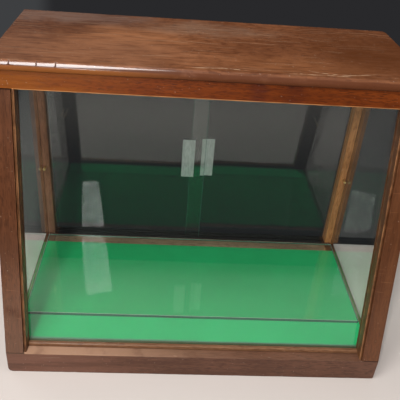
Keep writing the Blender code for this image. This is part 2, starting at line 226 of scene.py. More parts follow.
class Finish:
    def __init__(self, owner):
        owner.use_nodes = True
        self.owner = owner
        self.tree = owner.node_tree
        self.tree.nodes.clear()

    def add(self, kind, settings=None, sockets=None):
        node = self.tree.nodes.new("ShaderNode" + kind)
        for key, value in (settings or {}).items():
            setattr(node, key, value)
        for key, value in (sockets or {}).items():
            if isinstance(value, Flow):
                self.tree.links.new(value.socket, node.inputs[key])
            else:
                node.inputs[key].default_value = value
        return node

    def node(self, kind, settings=None, sockets=None, out=0):
        return Flow(self.tree, self.add(kind, settings, sockets).outputs[out])

    def here(self):
        return self.node("TexCoord", None, None, "Object")

    def axes(self, place):
        split = self.add("SeparateXYZ", None, {0: place})
        return [Flow(self.tree, socket) for socket in split.outputs]

    def magnitude(self, value):
        return self.node("Math", {"operation": "ABSOLUTE"}, {0: value})

    def band(self, value, low, high):
        return self.node("MapRange", {"interpolation_type": "SMOOTHSTEP"},
                         {"Value": value, "From Min": low, "From Max": high})

    def tint(self, share, first, second):
        wide = [(*c, 1.0) if isinstance(c, tuple) else c for c in (first, second)]
        return self.node("Mix", {"data_type": "RGBA"}, {0: share, 6: wide[0], 7: wide[1]}, 2)

    def cloud(self, place, stretch, detail=2.0, turn=(0, 0, 0), shift=(0, 0, 0)):
        stretch = stretch if isinstance(stretch, tuple) else (stretch, stretch, stretch)
        moved = self.node("Mapping", None,
                          {"Vector": place, "Scale": stretch, "Rotation": turn, "Location": shift})
        return self.node("TexNoise", None,
                         {"Vector": moved, "Scale": 1.0, "Detail": detail, "Roughness": 0.55})

    def output(self, shader, kind="OutputMaterial"):
        self.add(kind, None, {"Surface": shader})


def newFinish(name):
    return Finish(bpy.data.materials.new(name))


# old varnished wood: streaks and short flecks along the grain, scuffs, dust with painted sheen and shade,
# rubbed arrises, dark joints
everywhere = (2.0, 1.0)  # limits that take in the whole cabinet
unbroken = (-1.0, -0.5)  # limits that leave no gaps
grainLook = dict(
    wanderSize=(2.5, 14.0, 14.0), poreSize=(60.0, 900.0, 900.0), pores=(0.60, 0.68), poreShare=0.45,
    poreDeep=0.6, blotchSize=8.0, blotches=(0.32, 0.68), blotchShare=0.45, blotchDull=0.08,
    streaks=(0.30, 0.70), streakShare=0.40, streakDull=0.10, flecks=(0.50, 0.62), fleckHigh=0.35,
    growing=(0.10, 0.90), yearEnd=(0.86, 1.0), ringHigh=0.15)
scuffLook = dict(
    patchSize=(22.0, 34.0, 22.0), patchRagged=1.5, patchFade=(1.25, 0.15), patchLeast=0.42, patchMore=0.62,
    patchStreaks=(0.34, 0.56), bendSize=6.0, bendBy=(0.02, 0.05, 0.04), scratches=(0.72, 0.75),
    scratchShift=3.0, scratchDeep=0.8, waverSize=30.0, waverBy=0.006, scoreWide=(0.0017, 0.0006),
    scoreTaper=0.6, scoreDeep=0.6, gapSize=90.0, gaps=(0.32, 0.52), speckSize=300.0, specks=(0.735, 0.775),
    speckColour=(0.52, 0.40, 0.31))
wearLook = dict(
    dustAndPaintedLightSize=30.0, dusty=(0.12, 0.52), dustAndPaintedLightLeast=0.12, dustAndSheenMore=0.88, dustDull=0.28,
    bareSize=45.0, bareRagged=1.3, bareDull=0.15, lineSize=(38.0, 160.0, 160.0), lineEnd=0.003,
    grimy=(0.15, 0.85), grimeShare=0.85, reliefDeep=0.0006)


class Varnish(Finish):
    def __init__(self, name, look):
        super().__init__(bpy.data.materials.new(name))
        self.look = look
        self.place = self.here()
        self.x, self.y, self.z = self.axes(self.place)

    # each coat lies over the colour so far
    def blend(self, share, colour):
        self.colour = self.tint(share, self.colour, colour)

    def grow(self, grain):
        look = self.look
        run = self.node("Mapping", None, {"Vector": self.place, "Rotation": look["turn"]})
        along, up, deep = self.axes(run)
        wander = self.cloud(run, grain["wanderSize"], 2.0)
        self.streak = self.cloud(run, look["streakSize"], 4.0)
        fleck = self.cloud(run, look["fleckSize"], 2.0)
        pores = self.band(self.cloud(run, grain["poreSize"], 1.0), *grain["pores"])
        blotch = self.band(self.cloud(self.place, grain["blotchSize"], 3.0), *grain["blotches"])
        fromPith = ((up - look["pith"][0]) ** 2.0 + (deep - look["pith"][1]) ** 2.0) ** 0.5
        years = (fromPith + along * look["tilt"] + wander * look["wander"]) * (1.0 / look["yearly"])
        year = self.node("Math", {"operation": "FRACT"}, {0: years})
        # slow growth, then a dark line
        ring = self.band(year, *grain["growing"]) - self.band(year, *grain["yearEnd"])
        shade = self.band(self.streak, *grain["streaks"]) * grain["streakShare"]
        shade = shade + ring * look["figure"] + blotch * grain["blotchShare"]
        self.colour = self.tint(shade, look["dark"], look["light"])
        self.blend(self.band(fleck, *grain["flecks"]) * look["flecks"], look["dark"])
        self.blend(pores * grain["poreShare"], look["deepest"])
        self.rough = self.streak * grain["streakDull"] + blotch * grain["blotchDull"] + look["dull"]
        self.height = fleck * grain["fleckHigh"] + ring * grain["ringHigh"] - pores * grain["poreDeep"]

    def patch(self, scuffs, spot):
        # a ragged oval that follows the streaks
        ragged = (self.cloud(self.place, scuffs["patchSize"], 3.0) - 0.5) * scuffs["patchRagged"]
        acrossX = (self.x - spot["at"][0]) / spot["size"][0]
        acrossY = (self.y - spot["at"][1]) / spot["size"][1]
        far = (acrossX ** 2.0 + acrossY ** 2.0) ** 0.5
        share = self.band(far + ragged, *scuffs["patchFade"]) * spot["share"]
        streaky = scuffs["patchLeast"] + self.band(self.streak, *scuffs["patchStreaks"]) * scuffs["patchMore"]
        self.blend(share * streaky, spot["colour"])
        self.rough = self.rough + share * spot["dull"]

    def scratch(self, scuffs, turn, stretch):
        look = self.look
        # fine lines in one direction, a little bent
        bent = self.cloud(self.place, scuffs["bendSize"], 1.0)
        sweep = self.node("CombineXYZ", None, {axis: bent * by for axis, by in zip("XYZ", scuffs["bendBy"])})
        swept = self.node("VectorMath", {"operation": "ADD"}, {0: self.place, 1: sweep})
        shift = (stretch[0], scuffs["scratchShift"], 0)
        line = self.band(self.cloud(swept, stretch, 1.0, turn, shift), *scuffs["scratches"])
        line = line * self.band(self.z, *look["scoreZ"])
        self.blend(line * look["scored"], look["bare"])
        self.height = self.height - line * scuffs["scratchDeep"]

    def score(self, scuffs, mark):
        # one long broken mark that thins out at its ends
        aside = self.magnitude(self.x - mark["at"][0])
        waver = (self.cloud(self.place, scuffs["waverSize"], 2.0) - 0.5) * scuffs["waverBy"]
        off = self.magnitude(self.y - mark["at"][1] - aside * aside * mark["bend"] + waver)
        line = self.band(off, *scuffs["scoreWide"])
        line = line * self.band(aside, mark["half"], mark["half"] * scuffs["scoreTaper"])
        line = line * self.band(self.cloud(self.place, scuffs["gapSize"], 2.0), *scuffs["gaps"])
        self.blend(line * mark["share"], self.look["bare"])
        self.height = self.height - line * scuffs["scoreDeep"]

    def scuff(self, scuffs):
        look = self.look
        for spot in look["patches"]:
            self.patch(scuffs, spot)
        for turn, stretch in look["scratches"]:
            self.scratch(scuffs, turn, stretch)
        for mark in look["scores"]:
            self.score(scuffs, mark)
        specks = self.band(self.cloud(self.place, scuffs["speckSize"], 1.0), *scuffs["specks"])
        self.blend(specks * look["specks"], scuffs["speckColour"])

    def age(self, wear):
        look = self.look
        # a laid layer: dust, heavier towards the left, where the extra is partly a painted sheen; on the top
        # board the same layer is a painted shade, dark down the nose
        laidDustAndPaintedLight = wear["dustAndPaintedLightLeast"] + self.band(self.x, *look["dustAndSheenX"]) * wear["dustAndSheenMore"]
        laidDustAndPaintedLight = self.band(self.z, *look["dustAndPaintedLightZ"]) * laidDustAndPaintedLight
        patchy = self.band(self.cloud(self.place, wear["dustAndPaintedLightSize"], 3.0), *wear["dusty"])
        dustAndPaintedLight = laidDustAndPaintedLight * patchy * look["dustAndPaintedLight"]
        self.blend(dustAndPaintedLight, look["laidDustAndPaintedLight"])
        # rubEdges puts wear on the arrises and grime in the joints
        rubbed = self.node("Attribute", {"attribute_name": "wear"}, None, "Fac")
        uneven = (self.cloud(self.place, wear["bareSize"], 4.0) - 0.5) * wear["bareRagged"]
        bare = self.band(rubbed + uneven, *look["arris"]) * look["rubbed"]
        self.blend(bare, look["bare"])
        self.rough = self.rough + dustAndPaintedLight * wear["dustDull"] + bare * wear["bareDull"]
        for line in look["lines"]:
            edge = self.band(self.z, *line["z"]) * self.band(self.y, *line["y"])
            edge = edge * self.band(self.x, *line["x"])
            edge = edge * self.band(self.magnitude(self.x), line["half"], line["half"] - wear["lineEnd"])
            ragged = self.band(self.cloud(self.place, wear["lineSize"], 4.0), *line["gaps"])
            self.blend(edge * ragged * line["share"], line["colour"])
        grime = self.node("Attribute", {"attribute_name": "grime"}, None, "Fac")
        self.blend(self.band(grime, *wear["grimy"]) * wear["grimeShare"], look["deepest"])

    def lay(self, wear):
        look = self.look
        dent = self.node("Bump", None, {
            "Strength": look["relief"], "Distance": wear["reliefDeep"], "Height": self.height})
        coat = self.band(self.z, *look["coatZ"]) * self.band(self.x, *look["coatX"])
        self.output(self.node("BsdfPrincipled", None, {
            "Base Color": self.colour, "Roughness": self.rough, "Normal": dent,
            "Coat Weight": coat * look["coat"], "Specular IOR Level": look["shine"],
            "Coat Roughness": look["coatDull"], "Coat IOR": look["coatBend"]}))
        return self.owner


def varnished(name, look):
    wood = Varnish(name, look)
    wood.grow(grainLook)
    wood.scuff(scuffLook)
    wood.age(wearLook)
    return wood.lay(wearLook)


alongGrain = (0, 0, 0)  # grain along X
upright = (0, math.radians(90), 0)  # grain along Z
leaning = (leanAngle, math.radians(90), 0)  # grain along the leaning posts
sideways = (0, 0, math.radians(-90))  # grain along Y
railWood = dict(
    turn=alongGrain, pith=(-0.12, 0.25), tilt=0.020, wander=0.020, yearly=0.0090, figure=0.18, flecks=0.75,
    streakSize=(5.0, 80.0, 80.0), fleckSize=(80.0, 420.0, 420.0), deepest=(0.020, 0.006, 0.003),
    dark=(0.085, 0.016, 0.003), light=(0.218, 0.046, 0.006), bare=(0.70, 0.32, 0.12), lines=[],
    dull=0.28, shine=0.22, coat=0.15, coatDull=0.18, coatBend=1.5, coatZ=everywhere, coatX=everywhere,
    relief=0.22, rubbed=0.9, arris=(0.70, 1.05), specks=0.20, scored=0.0, scoreZ=everywhere, scratches=[],
    scores=[], dustAndPaintedLight=0.0, dustAndPaintedLightZ=everywhere, dustAndSheenX=(0.10, -0.26), laidDustAndPaintedLight=(0.43, 0.28, 0.20),
    patches=[
        dict(at=(-0.265, -0.085), size=(0.140, 0.070), colour=(0.235, 0.066, 0.006), share=0.80, dull=0.0),
        dict(at=(0.064, -0.085), size=(0.014, 0.070), colour=(0.050, 0.009, 0.008), share=0.60, dull=0.0),
        dict(at=(0.112, -0.085), size=(0.018, 0.070), colour=(0.050, 0.009, 0.006), share=0.50, dull=0.0)])
postWood = dict(
    railWood, pith=(0.10, -0.19), dark=(0.068, 0.021, 0.007), light=(0.155, 0.052, 0.020),
    bare=(0.58, 0.28, 0.13), dull=0.32, coat=0.12, rubbed=0.75, arris=(0.80, 1.20), specks=0.30, scored=0.12,
    scratches=[((0, math.radians(52), 0), (14.0, 60.0, 330.0))], patches=[], dustAndPaintedLight=0.17, dustAndPaintedLightZ=(0.30, 0.05))
lowWood = dict(
    postWood, pith=(-0.02, -0.16), dark=(0.077, 0.029, 0.015), light=(0.160, 0.068, 0.039),
    # pale dust on the ledge, laid heavier on the left, partly as a painted sheen
    bare=(0.66, 0.46, 0.34), dustAndPaintedLight=0.88, dustAndPaintedLightZ=(footZ - 0.0018, footZ - 0.0005), laidDustAndPaintedLight=(0.46, 0.265, 0.165),
    scratches=[((0, math.radians(4), 0), (7.0, 60.0, 420.0))],
    patches=[
        dict(at=(-0.240, -0.165), size=(0.150, 0.060), colour=(0.210, 0.094, 0.061), share=0.60, dull=0.0)])
beadWood = dict(
    postWood, dark=(0.072, 0.026, 0.010), light=(0.160, 0.066, 0.026), bare=(0.34, 0.17, 0.08), rubbed=0.5,
    dustAndPaintedLight=0.0)
topWood = dict(
    railWood, pith=(0.03, 0.40), tilt=0.012, yearly=0.0110, wander=0.026, figure=0.10, flecks=0.85,
    streakSize=(20.0, 170.0, 170.0), fleckSize=(75.0, 180.0, 180.0),
    dark=(0.108, 0.031, 0.009), light=(0.256, 0.092, 0.034), bare=(0.52, 0.34, 0.21), dull=0.36, shine=0.26,
    coat=1.0, coatDull=0.14, coatBend=1.8, coatZ=(topZ - 0.0068, topZ - 0.0046), coatX=(0.00, -0.14),
    specks=0.70, scored=0.40, scoreZ=(topZ - 0.0018, topZ - 0.0005), arris=(0.85, 1.25),
    # the dark layer down the nose is painted shade
    dustAndPaintedLight=0.95, dustAndPaintedLightZ=(topZ - 0.0016, topZ - 0.0045), dustAndSheenX=everywhere, laidDustAndPaintedLight=(0.098, 0.024, 0.004),
    scratches=[((0, 0, math.radians(8)), (7.0, 330.0, 60.0)),
               ((0, 0, math.radians(-38)), (9.0, 460.0, 60.0)),
               ((0, 0, math.radians(-4)), (6.0, 420.0, 60.0))],
    scores=[dict(at=(0.150, -0.0640), bend=-0.6, half=0.050, share=0.75),
            dict(at=(0.185, -0.0600), bend=4.0, half=0.055, share=0.65),
            dict(at=(0.005, -0.0600), bend=-2.0, half=0.045, share=0.75)],
    patches=[
        dict(at=(-0.235, 0.150), size=(0.150, 0.045), colour=(0.240, 0.148, 0.112), share=0.65, dull=0.10),
        dict(at=(-0.130, 0.060), size=(0.110, 0.060), colour=(0.430, 0.165, 0.062), share=0.80, dull=0.05),
        dict(at=(-0.010, 0.120), size=(0.130, 0.045), colour=(0.215, 0.126, 0.080), share=0.55, dull=0.12),
        dict(at=(-0.170, -0.015), size=(0.190, 0.080), colour=(0.330, 0.132, 0.057), share=0.70, dull=0.06),
        dict(at=(0.140, -0.030), size=(0.150, 0.045), colour=(0.300, 0.112, 0.040), share=0.45, dull=0.04),
        dict(at=(0.265, 0.040), size=(0.150, 0.130), colour=(0.098, 0.025, 0.003), share=0.90, dull=0.02)])
trackWood = dict(
    railWood, pith=(0.02, -0.30), dark=(0.030, 0.012, 0.006), light=(0.090, 0.034, 0.016),
    bare=(0.42, 0.33, 0.24), dull=0.45, coat=0.0, rubbed=0.45, arris=(0.85, 1.20), patches=[])
plyWood = dict(
    railWood, pith=(0.40, -0.30), dark=(0.205, 0.108, 0.062), light=(0.420, 0.260, 0.160),
    deepest=(0.06, 0.03, 0.018), bare=(0.46, 0.30, 0.18), dull=0.60, shine=0.3, coat=0.0, rubbed=0.3,
    patches=[])

# marks that have a place of their own
wornArris = dict(
    z=(headZ + 0.0019, headZ + 0.0009), y=everywhere, x=everywhere, half=postEdge, gaps=(0.20, 0.60),
    share=0.95, colour=(0.70, 0.32, 0.12))
stripBehindPane = dict(
    z=(footZ - 0.004, footZ - 0.002), y=(railFront + 0.0225, railFront + 0.0235), x=everywhere, half=postEdge,
    gaps=unbroken, share=0.95, colour=(0.070, 0.105, 0.058))
# the lower front of the nose, towards the left, is painted a lighter orange: painted light where the nose
# faces down into shade
paintedLightNose = dict(
    z=(topZ - 0.0050, topZ - 0.0070), y=(noseFront + 0.016, noseFront + 0.010), x=(-0.02, -0.17), half=1.0,
    gaps=unbroken, share=0.75, colour=(0.260, 0.080, 0.012))
# the top of the lower track is painted near black: a painted shade under the doors
paintedShadeTrackTop = dict(
    z=everywhere, y=(trackFront + 0.0010, trackFront + 0.0018), x=everywhere, half=postEdge, gaps=unbroken,
    share=0.92, colour=(0.004, 0.006, 0.006))
# a paler patch painted on the right front post: painted light on the side the lamps leave darker
paintedLightRightPost = dict(
    at=(0.300, -0.100), size=(0.050, 0.200), colour=(0.165, 0.062, 0.024), share=0.44, dull=0.0)

woods = {
    "railX": varnished("rail_varnish", dict(railWood, shine=0.14, coat=0.08, lines=[wornArris])),
    "lowX": varnished("bottom_rail_varnish", dict(lowWood, lines=[stripBehindPane])),
    "backX": varnished("back_rail_varnish", dict(lowWood, dustAndPaintedLight=0.0)),
    "postLean": varnished("front_post_varnish", dict(postWood, turn=leaning, patches=[paintedLightRightPost])),
    "postUp": varnished("back_post_varnish", dict(
        postWood, turn=upright, dark=(0.120, 0.046, 0.022), light=(0.260, 0.112, 0.060))),
    # the back right post is painted paler and more orange than the other posts: painted light where light
    # falls on it
    "postPaintedLit": varnished("back_right_post_varnish", dict(
        postWood, turn=upright, dark=(0.320, 0.125, 0.042), light=(0.640, 0.290, 0.112), dustAndPaintedLight=0.0)),
    "railY": varnished("side_rail_varnish", dict(postWood, turn=sideways)),
    "beadX": varnished("long_bead_varnish", dict(
        beadWood, dark=(0.130, 0.056, 0.026), light=(0.255, 0.120, 0.058), rubbed=0.3)),
    "beadY": varnished("side_bead_varnish", dict(beadWood, turn=sideways)),
    "beadLean": varnished("leaning_bead_varnish", dict(
        beadWood, turn=leaning, bare=(0.52, 0.24, 0.10), rubbed=0.45, arris=(0.78, 1.15))),
    "beadUp": varnished("upright_bead_varnish", dict(beadWood, turn=upright)),
    "top": varnished("top_board_varnish", dict(topWood, lines=[paintedLightNose])),
    "track": varnished("track_varnish", trackWood),
    "lowTrack": varnished("lower_track_varnish", dict(trackWood, lines=[paintedShadeTrackTop])),
    "ply": varnished("base_ply", plyWood),
}
print("wood finishes made:", len(woods))


# the frame members, from the sizes of the frame, with sawn corners rubbed round
rubLook = dict(
    corner=math.radians(17), cornerWear=1.0, rounded=math.radians(7), roundedWear=0.55, dented=0.5,
    coarse=70, coarseLeast=0.1, fine=210, fineLeast=0.2, fineShare=0.6)


def rubEdges(piece, look, dents, atJoint, isSharp):
    shape = bmesh.new()
    shape.from_mesh(piece.data)
    shape.normal_update()
    wear = shape.verts.layers.float.new("wear")
    grime = shape.verts.layers.float.new("grime")
    for edge in shape.edges:
        turn = edge.calc_face_angle_signed(0.0) if len(edge.link_faces) == 2 else 0.0
        amount = look["roundedWear"] if turn > look["rounded"] else 0.0
        if turn > look["corner"]:
            amount = look["cornerWear"]
        for vert in edge.verts:
            vert[wear] = max(vert[wear], amount)
    for vert in shape.verts:
        if isSharp(vert.co):
            vert[wear] = 0.0
        if atJoint(vert.co):
            vert[grime] = 1.0
        if vert[wear] > look["dented"]:
            coarse = max(0.0, noise.noise(vert.co * look["coarse"]) - look["coarseLeast"])
            fine = max(0.0, noise.noise(vert.co * look["fine"]) - look["fineLeast"])
            vert.co -= vert.normal * dents * (coarse + look["fineShare"] * fine)
    shape.to_mesh(piece.data)
    shape.free()


# evenly along the member for the dents, and beside each arris to keep the wear there
def memberCuts(low, high, look):
    axis, rim = look["along"], look["rim"]
    cuts = evenCuts(low, high, axis, look["step"])
    for other in range(3):
        if other == axis or (look["leans"] and other == 1):
            continue
        cuts += [(low + unit(other) * rim, unit(other)), (high - unit(other) * rim, unit(other))]
    if look["leans"]:
        side = Vector((0, math.cos(leanAngle), -math.sin(leanAngle)))
        cuts += [(Vector((0, low.y, low.z)) + side * rim, side),
                 (Vector((0, high.y, high.z)) - side * rim, side)]
    return cuts + [crossCut(across, at) for across, at in look["beside"]]


def agedMember(name, look):
    takeUp(frame["nodes"][name])
    bpy.ops.object.duplicate()
    piece = bpy.context.object
    piece.parent = None
    del piece["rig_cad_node"], piece["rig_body"]
    piece.name = name + "_wood"
    piece.data.name = piece.name
    bpy.ops.object.mode_set(mode="EDIT")
    bpy.ops.mesh.select_all(action="SELECT")
    # back from triangles to whole faces
    bpy.ops.mesh.remove_doubles(threshold=look["weld"])
    bpy.ops.mesh.dissolve_limited(angle_limit=look["coplanar"])
    bpy.ops.mesh.customdata_custom_splitnormals_clear()
    stopEditing()
    low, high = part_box(name)
    for test, width in look["worn"]:
        roundOff(piece, lambda e: isCorner(e) and test(middle(e)), width, look["wornSteps"])
    cutAt(piece, memberCuts(low, high, look))
    isSharp = look.get("sharp", look["joint"])
    roundOff(piece, lambda e: isCorner(e) and not isSharp(middle(e)), look["edge"], look["edgeSteps"])
    rubEdges(piece, rubLook, look["dents"], look["joint"], isSharp)
    softShade(piece)
    dress(piece, [woods[look["wood"]]])
    stand(piece, "cabinet", look["slot"], name)


# where members meet, arrises stay sharp and grime collects
jointLook = dict(postEnd=0.0006, inRail=0.0012, inPost=0.002, board=0.0008)


def atPostEnds(at):
    return at.z < footZ + jointLook["postEnd"] or at.z > headZ - jointLook["postEnd"]


def underPosts(at):
    return abs(at.x) > postEdge and footZ - jointLook["inRail"] < at.z < footZ + jointLook["inPost"]


def overPosts(at):
    return abs(at.x) > postEdge and headZ - jointLook["inPost"] < at.z < headZ + jointLook["inRail"]


def underBoard(at):
    return at.z > boardZ - jointLook["board"] or overPosts(at)


def nowhere(at):
    return False


cornerNear = 0.001  # how near an edge lies to the corner that is worn


def atRailFoot(at):
    return abs(at.z - headZ) < cornerNear


def atLeftFoot(at):
    return at.z < cornerNear and at.x < railBox[0].x + cornerNear


def atRightFoot(at):
    return at.z < cornerNear and at.x > railBox[1].x - cornerNear


alongX = dict(
    along=0, step=0.007, rim=0.0028, edge=0.0009, edgeSteps=3, wornSteps=5, dents=0.0006, wood="backX",
    slot="post_wood", leans=False, beside=[], joint=nowhere, worn=[], weld=0.00001,
    coplanar=math.radians(0.5))
alongY = dict(alongX, along=1, wood="railY")
alongZ = dict(
    alongX, along=2, wood="postUp", joint=atPostEnds, beside=[(2, footZ + 0.0016), (2, headZ - 0.0016)])
frontPost = dict(
    alongZ, wood="postLean", leans=True,
    beside=alongZ["beside"] + [(0, postEdge - 0.0025), (0, 0.0025 - postEdge)])
planed = dict(alongX, wood="ply", slot="base_ply", step=0.02, rim=0.002, edge=0.0006, dents=0.0003)
memberLooks = {
    "front_top_rail": dict(
        alongX, wood="railX", slot="rail_wood", leans=True, dents=0.0007, joint=overPosts, sharp=underBoard,
        beside=[(2, headZ + 0.0028), (2, headZ + 0.0016), (2, boardZ - 0.0030)], worn=[(atRailFoot, 0.0020)]),
    "front_bottom_rail": dict(
        alongX, wood="lowX", slot="rail_wood", dents=0.0008, joint=underPosts,
        beside=[(2, footZ - 0.0030), (2, footZ - 0.0016)], worn=[(atLeftFoot, 0.008), (atRightFoot, 0.003)]),
    "back_top_rail": alongX,
    "back_bottom_rail": alongX,
    "left_top_rail": alongY,
    "right_top_rail": alongY,
    "left_bottom_rail": alongY,
    "right_bottom_rail": alongY,
    "front_left_post": frontPost,
    "front_right_post": frontPost,
    "back_left_post": alongZ,
    "back_right_post": dict(alongZ, wood="postPaintedLit"),
    "lower_door_track": dict(
        alongX, wood="lowTrack", slot="track_wood", step=0.005, rim=0.0013, edge=0.0007, dents=0.0010),
    "upper_door_track": dict(alongX, wood="track", slot="track_wood", rim=0.0015, edge=0.0005, dents=0.0003),
    "base_board": dict(planed, step=0.03),
    "front_floor_cleat": planed,
    "back_floor_cleat": planed,
    "left_floor_cleat": dict(planed, along=1),
    "right_floor_cleat": dict(planed, along=1),
}
for memberName, memberLook in memberLooks.items():
    agedMember(memberName, memberLook)
print("frame members made:", len(memberLooks))


# slips that hold the panes
slipLook = dict(step=0.008, round=0.0018, roundSteps=4, edge=0.0005, edgeSteps=2, dents=0.0004)


def slip(look, name, axis, leans, outward, wood):
    low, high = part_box(name)
    shift = (high.z - low.z) * math.tan(leanAngle) if leans else 0.0
    piece = addBlock(name + "_wood", low, (high.x, high.y - shift, high.z))
    if leans:
        choose(piece, "VERT", lambda v: v.co.z > (low.z + high.z) / 2)
        bpy.ops.transform.translate(value=(0, shift, 0))
        stopEditing()
    out = Vector(outward)

    def isOuter(edge):
        run = (edge.verts[1].co - edge.verts[0].co).normalized()
        return abs(run[axis]) > facing and any(face.normal.dot(out) > facing for face in edge.link_faces)

    roundOff(piece, isOuter, look["round"], look["roundSteps"])
    cutAt(piece, evenCuts(low, high, axis, look["step"]))
    roundOff(piece, isCorner, look["edge"], look["edgeSteps"])
    rubEdges(piece, rubLook, look["dents"], nowhere, nowhere)
    softShade(piece)
    dress(piece, [woods[wood]])
    stand(piece, "cabinet", "post_wood", name)


frontward = (0, -1, 0)
for place in ("bottom", "top"):
    slip(slipLook, "front_bead_" + place, 0, True, frontward, "beadX")
for place in ("left", "right"):
    slip(slipLook, "front_bead_" + place, 2, True, frontward, "beadLean")
for sideName, sideward in (("left", (-1, 0, 0)), ("right", (1, 0, 0))):
    for place in ("bottom", "top"):
        slip(slipLook, sideName + "_bead_" + place, 1, False, sideward, "beadY")
    slip(slipLook, sideName + "_bead_front", 2, True, sideward, "beadLean")
    slip(slipLook, sideName + "_bead_back", 2, False, sideward, "beadUp")
print("slips made")


# top board with its round nose, nicked on the left
boardLook = dict(
    nose=0.0095, noseSteps=12, slope=0.42, under=0.0028, underSteps=5, ends=0.0022, endSteps=4, corner=0.010,
    cornerSteps=6, near=0.0001, longEdge=0.1, step=0.006, rim=0.0035, firstRow=0.012, rowStep=0.018, rows=14,
    dents=0.0005, sag=0.00012, sagSize=24, noseDeep=0.010, noseWear=0.35, nicks=(-0.282, -0.245, -0.219),
    nickSides=(-0.0011, 0.0, 0.0011), nickNear=0.0002, nickAbove=0.0085, nickNose=0.1, nickDeep=0.0007,
    nickGrime=0.8)


def boardCuts(low, high, look):
    count = int((high.x - low.x) / look["step"])
    acrossX = [low.x + look["step"] * (i + 0.5) for i in range(count + 1)]
    acrossX += [low.x + inset for inset in (look["rim"], high.x - low.x - look["rim"])]
    acrossY = [low.y + look["firstRow"] + look["rowStep"] * i for i in range(look["rows"])]
    acrossY += [high.y - look["rim"]]
    nicks = [nick + side for nick in look["nicks"] for side in look["nickSides"]]
    return [crossCut(axis, at) for axis, places in ((0, acrossX), (1, acrossY), (0, nicks)) for at in places]


def topBoard(look):
    low, high = boardBox
    level, near = (low.z + high.z) / 2, look["near"]
    piece = addBlock("top_board_wood", low, high)

    def atBackRight(edge):
        return middle(edge).y > high.y - near and middle(edge).x > high.x - near

    def alongFront(edge):
        length = abs(edge.verts[0].co.x - edge.verts[1].co.x)
        return middle(edge).y < low.y + near and length > look["longEdge"]

    def atNick(at):
        return at.z > low.z + look["nickAbove"] and any(
            abs(at.x - nick) < look["nickNear"] for nick in look["nicks"])

    roundOff(piece, atBackRight, look["corner"], look["cornerSteps"])
    roundOff(piece, lambda e: alongFront(e) and middle(e).z > level,
             look["nose"], look["noseSteps"], look["slope"])
    roundOff(piece, lambda e: alongFront(e) and middle(e).z < low.z + near, look["under"], look["underSteps"])
    cutAt(piece, boardCuts(low, high, look))
    roundOff(piece, isCorner, look["ends"], look["endSteps"])
    rubEdges(piece, rubLook, look["dents"], nowhere, nowhere)
    shape = bmesh.new()
    shape.from_mesh(piece.data)
    shape.normal_update()
    wear = shape.verts.layers.float["wear"]
    grime = shape.verts.layers.float["grime"]
    for vert in shape.verts:
        nose = max(0.0, 1.0 - (vert.co.y - low.y) / look["noseDeep"])
        cut = float(nose > look["nickNose"] and atNick(vert.co))
        hollow = look["sag"] * (0.5 + 0.5 * noise.noise(vert.co * look["sagSize"]))
        vert.co -= vert.normal * (cut * look["nickDeep"] + hollow)
        vert[wear] *= look["noseWear"] if nose > 0 else 1.0
        vert[grime] = max(vert[grime], cut * look["nickGrime"])
    shape.to_mesh(piece.data)
    shape.free()
    softShade(piece)
    dress(piece, [woods["top"]])
    stand(piece, "cabinet", "top_wood", "top_board")


topBoard(boardLook)
print("top board made")


# glass
glassBend = 1.5  # refractive index
groundLook = dict(
    gritSize=(420.0, 420.0, 90.0), gritty=(0.3, 0.7), dark=(0.42, 0.435, 0.425), light=(0.57, 0.58, 0.57),
    dull=0.75, gritDull=0.1, clear=0.25, relief=0.4, reliefDeep=0.0004)
edgeLook = dict(
    rippleSize=(14.0, 14.0, 260.0), brighter=1.6, dull=0.12, rippleDull=0.12, clear=0.45,
    through=(0.80, 0.92, 0.86))


def litThrough(f, glass, colour):
    # light passes a pane as if it were not there
    path = f.add("LightPath")
    passing = f.node("Math", {"operation": "MAXIMUM"}, {
        0: Flow(f.tree, path.outputs["Is Shadow Ray"]), 1: Flow(f.tree, path.outputs["Is Diffuse Ray"])})
    through = f.node("BsdfTransparent", None, {"Color": (*colour, 1.0)})
    f.output(f.node("MixShader", None, {0: passing, 1: glass, 2: through}))


def clearGlass(name, look):
    f = newFinish(name)
    litThrough(f, f.node("BsdfPrincipled", None, {
        "Base Color": (*look["colour"], 1.0), "Roughness": 0.0, "IOR": glassBend,
        "Transmission Weight": 1.0}), look["through"])
    return f.owner


def groundGlass(name, look):
    f = newFinish(name)
    grit = f.cloud(f.here(), look["gritSize"], 2.0)
    dent = f.node("Bump", None, {
        "Strength": look["relief"], "Distance": look["reliefDeep"], "Height": grit})
    f.output(f.node("BsdfPrincipled", None, {
        "Base Color": f.tint(f.band(grit, *look["gritty"]), look["dark"], look["light"]),
        "Roughness": look["dull"] + grit * look["gritDull"], "Normal": dent,
        "Transmission Weight": look["clear"]}))
    return f.owner


def glassEdge(name, look, colour):
    f = newFinish(name)
    ripple = f.cloud(f.here(), look["rippleSize"], 2.0)
    shade = f.tint(ripple, colour, tuple(c * look["brighter"] for c in colour))
    litThrough(f, f.node("BsdfPrincipled", None, {
        "Base Color": shade, "Roughness": look["dull"] + ripple * look["rippleDull"], "IOR": glassBend,
        "Transmission Weight": look["clear"]}), look["through"])
    return f.owner


paneGlass = clearGlass("pane_glass_clear", dict(colour=(0.95, 0.97, 0.96), through=(0.94, 0.96, 0.95)))
doorGlass = clearGlass("door_glass_clear", dict(colour=(0.93, 0.96, 0.945), through=(0.92, 0.95, 0.935)))
shelfGlass = clearGlass("shelf_glass_clear", dict(colour=(0.91, 0.96, 0.935), through=(0.92, 0.96, 0.94)))
gripGlass = groundGlass("ground_grip", groundLook)
doorEdge = glassEdge("door_glass_edge", edgeLook, (0.08, 0.22, 0.17))
shelfEdge = glassEdge("shelf_glass_edge", edgeLook, (0.022, 0.165, 0.108))
